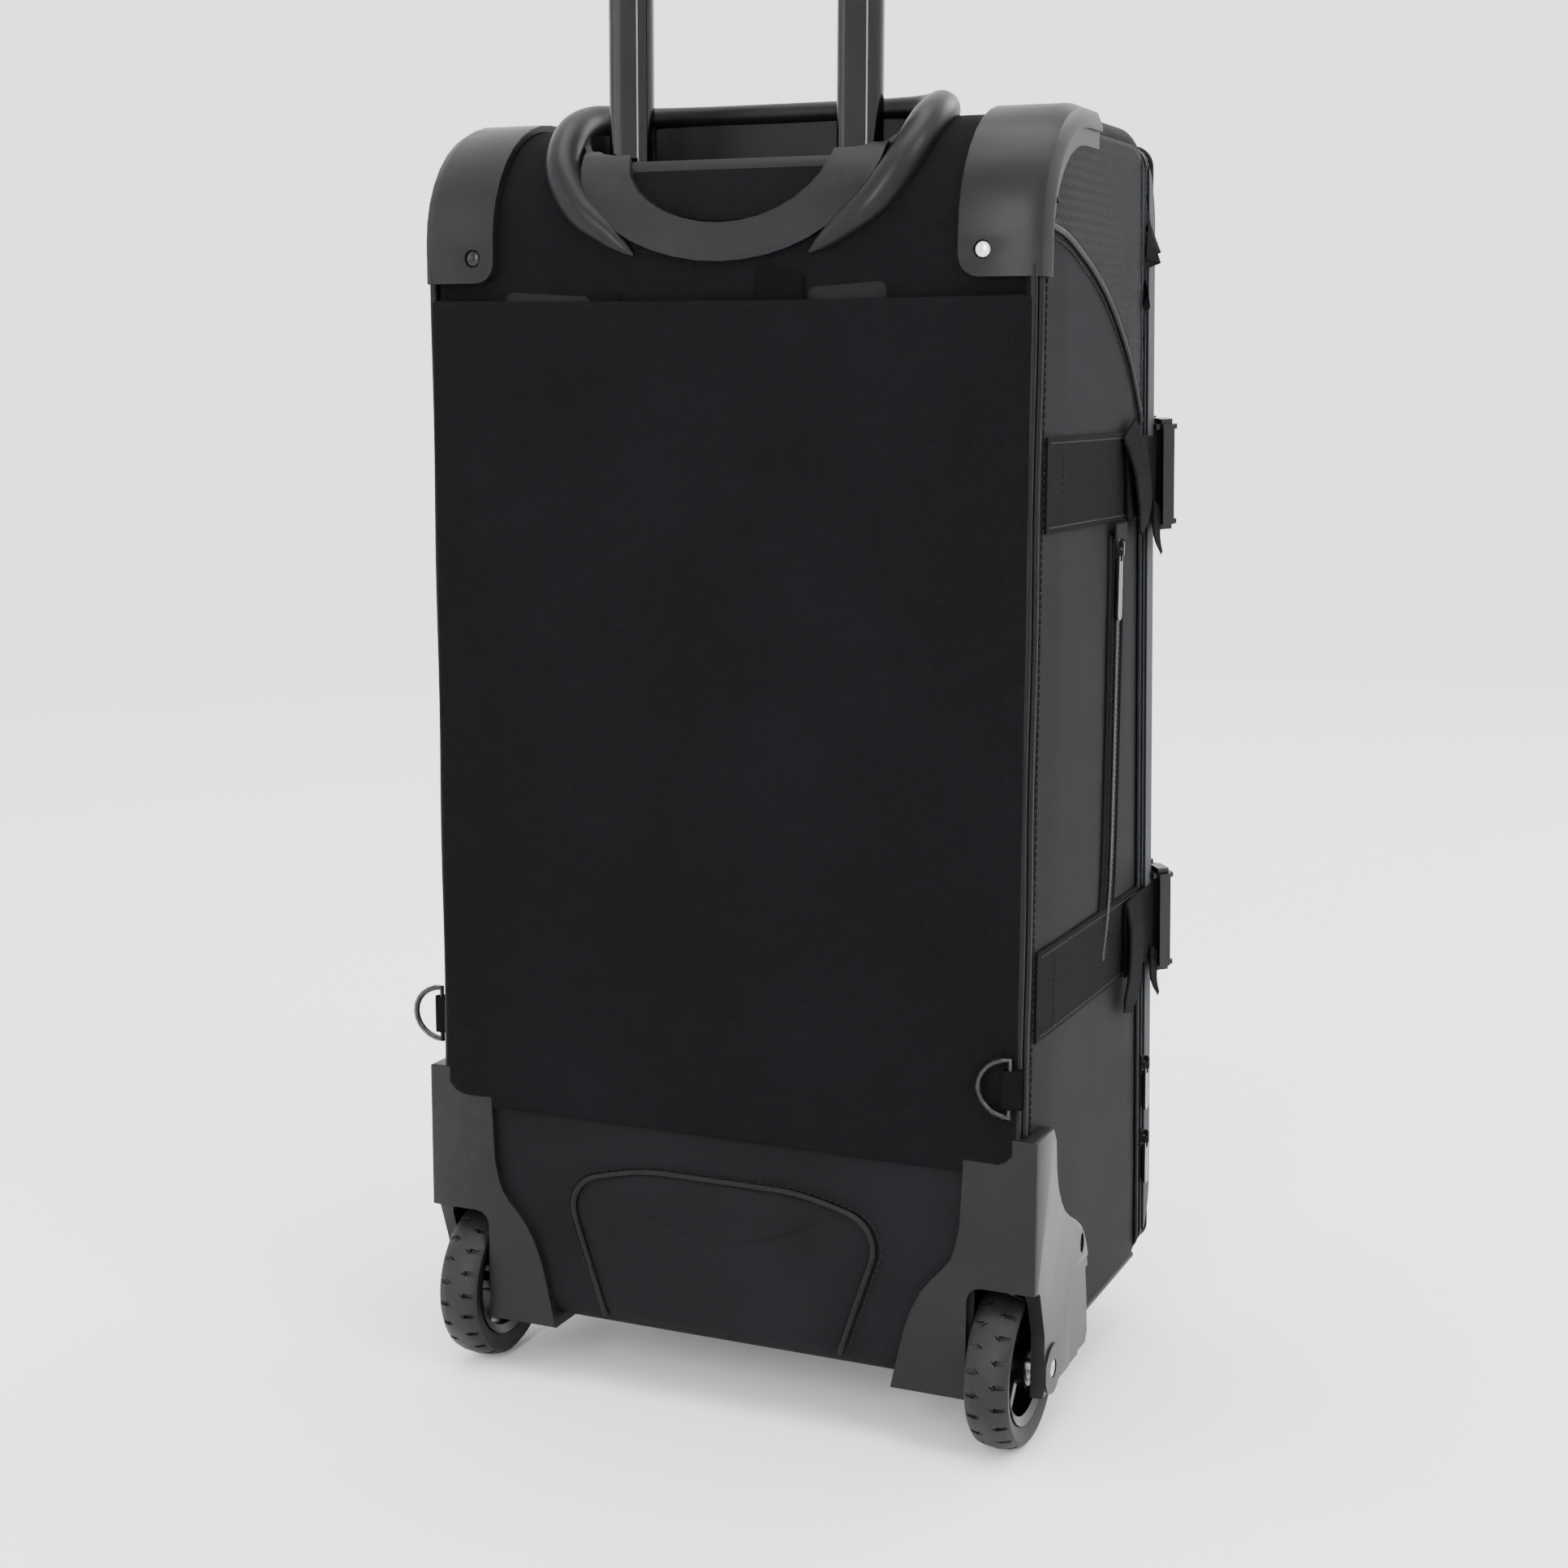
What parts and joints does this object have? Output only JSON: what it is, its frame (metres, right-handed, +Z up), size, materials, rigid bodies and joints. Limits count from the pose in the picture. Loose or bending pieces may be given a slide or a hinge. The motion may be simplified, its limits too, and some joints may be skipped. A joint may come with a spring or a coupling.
{
  "type": "softside upright suitcase",
  "caption": "Black softside upright suitcase on two rear wheels, with a two-stage telescopic handle, a zip-open lid, a pleated front pocket and buckled compression straps.",
  "frame": {"origin": "on the floor, below the centre of the suitcase with its straps and buckles", "axes": "+Z up; +Y towards the rear face with the telescopic handle and the wheels; the lid faces -Y; +X to the suitcase's left side, where the lid is hinged"},
  "size_m": [0.3937, 0.2974, 1.0735],
  "materials": {
    "coated_fabric": "coated woven fabric, soft satin",
    "twill": "fine twill weave, matte",
    "webbing": "ribbed webbing",
    "moulded_plastic": "satin, fine grain",
    "gloss_plastic": "gloss",
    "black_tube": "gloss black",
    "tyre_rubber": "matte rubber",
    "bright_steel": "bright",
    "black_wire": "gloss black",
    "board": "matte"
  },
  "bodies": {
    "case": {"case_shell": "coated_fabric", "back_board": "board", "frame_wire": "bright_steel", "rear_pocket_panel": "twill", "lower_rear_panel": "coated_fabric", "kick_pad": "coated_fabric", "handle_surround": "moulded_plastic", "surround_insert": "twill", "handle_base": "moulded_plastic", "top_handle": "webbing", "fixed_tube_left": "black_tube", "top_guard_left": "moulded_plastic", "wheel_housing_left": "moulded_plastic", "stowed_strap_left": "webbing", "front_foot_left": "moulded_plastic", "d_ring_tab_left": "webbing", "axle_bolt_left": "bright_steel", "side_strap_upper_left": "webbing", "side_strap_lower_left": "webbing", "fixed_tube_right": "black_tube", "top_guard_right": "moulded_plastic", "wheel_housing_right": "moulded_plastic", "stowed_strap_right": "webbing", "front_foot_right": "moulded_plastic", "d_ring_tab_right": "webbing", "axle_bolt_right": "bright_steel", "side_strap_upper_right": "webbing", "side_strap_lower_right": "webbing"},
    "handle_stage1": {"stage1_tube_left": "black_tube", "stage1_tube_right": "black_tube"},
    "handle_stage2": {"stage2_tube_left": "black_tube", "stage2_tube_right": "black_tube", "handle_grip": "gloss_plastic"},
    "release_button": {"release_button": "gloss_plastic", "release_rod_left": "bright_steel", "release_rod_right": "bright_steel"},
    "wheel_left": {"tyre_left": "tyre_rubber", "wheel_rim_left": "gloss_plastic", "bearing_inner_left": "bright_steel", "bearing_outer_left": "bright_steel"},
    "wheel_right": {"tyre_right": "tyre_rubber", "wheel_rim_right": "gloss_plastic", "bearing_inner_right": "bright_steel", "bearing_outer_right": "bright_steel"},
    "d_ring_left": {"d_ring_left": "black_wire"},
    "d_ring_right": {"d_ring_right": "black_wire"},
    "lid": {"lid_panel": "coated_fabric", "front_pocket": "coated_fabric", "front_strap_upper": "webbing", "front_strap_lower": "webbing", "buckle_prong_upper": "gloss_plastic", "buckle_prong_lower": "gloss_plastic"},
    "buckle_socket_upper": {"buckle_socket_upper": "gloss_plastic"},
    "buckle_socket_lower": {"buckle_socket_lower": "gloss_plastic"},
    "side_zip_slider": {"side_zip_slider": "black_wire"},
    "side_zip_pull": {"side_zip_pull": "black_wire"},
    "main_zip_upper_slider": {"main_zip_upper_slider": "black_wire"},
    "main_zip_upper_pull": {"main_zip_upper_pull": "black_wire"},
    "main_zip_lower_slider": {"main_zip_lower_slider": "black_wire"},
    "main_zip_lower_pull": {"main_zip_lower_pull": "black_wire"}
  },
  "joints": [
    {"name": "handle_stage1_slide", "type": "slide", "parent": "case", "child": "handle_stage1", "axis": [0, 0, 1], "range_m": [-0.175, 0]},
    {"name": "handle_stage2_slide", "type": "slide", "parent": "handle_stage1", "child": "handle_stage2", "axis": [0, 0, 1], "range_m": [-0.175, 0]},
    {"name": "release_button_press", "type": "slide", "parent": "handle_stage2", "child": "release_button", "axis": [0, 0, -1], "range_m": [0, 0.004], "stiffness_N_per_m": 900, "springref_m": -0.004},
    {"name": "wheel_left_spin", "type": "hinge", "parent": "case", "child": "wheel_left", "pos_m": [0.163, 0.1015, 0.047], "axis": [1, 0, 0], "continuous": true},
    {"name": "wheel_right_spin", "type": "hinge", "parent": "case", "child": "wheel_right", "pos_m": [-0.163, 0.1015, 0.047], "axis": [1, 0, 0], "continuous": true},
    {"name": "d_ring_left_swing", "type": "hinge", "parent": "case", "child": "d_ring_left", "pos_m": [0.182, 0.1245, 0.212], "axis": [0, 0, 1], "range_deg": [-85, 95]},
    {"name": "d_ring_right_swing", "type": "hinge", "parent": "case", "child": "d_ring_right", "pos_m": [-0.171, 0.1372, 0.212], "axis": [0, 0, 1], "range_deg": [0, 180]},
    {"name": "lid_swing", "type": "hinge", "parent": "case", "child": "lid", "pos_m": [0.177, -0.10241, 0.07844], "axis": [0, 0.0774, 0.997], "range_deg": [0, 165]},
    {"name": "buckle_upper_release", "type": "slide", "parent": "lid", "child": "buckle_socket_upper", "axis": [-0.6451, 0.7618, -0.0591], "range_m": [0, 0.024]},
    {"name": "buckle_lower_release", "type": "slide", "parent": "lid", "child": "buckle_socket_lower", "axis": [-0.6451, 0.7618, -0.0591], "range_m": [0, 0.024]},
    {"name": "side_zip_travel", "type": "slide", "parent": "case", "child": "side_zip_slider", "axis": [0, 0, -1], "range_m": [0, 0.185]},
    {"name": "side_zip_pull_swing", "type": "hinge", "parent": "side_zip_slider", "child": "side_zip_pull", "pos_m": [-0.1815, -0.0105, 0.486], "axis": [0, 1, 0], "range_deg": [0, 150]},
    {"name": "main_zip_upper_travel", "type": "slide", "parent": "case", "child": "main_zip_upper_slider", "axis": [0, 0.0774, 0.997], "range_m": [0, 0.05]},
    {"name": "main_zip_upper_pull_swing", "type": "hinge", "parent": "main_zip_upper_slider", "child": "main_zip_upper_pull", "pos_m": [-0.1815, -0.09561, 0.168], "axis": [0, 0.997, -0.0774], "range_deg": [0, 150]},
    {"name": "main_zip_lower_travel", "type": "slide", "parent": "case", "child": "main_zip_lower_slider", "axis": [0, 0.0774, 0.997], "range_m": [-0.03, 0]},
    {"name": "main_zip_lower_pull_swing", "type": "hinge", "parent": "main_zip_lower_slider", "child": "main_zip_lower_pull", "pos_m": [-0.1815, -0.09934, 0.12], "axis": [0, 0.997, -0.0774], "range_deg": [0, 150]}
  ]
}
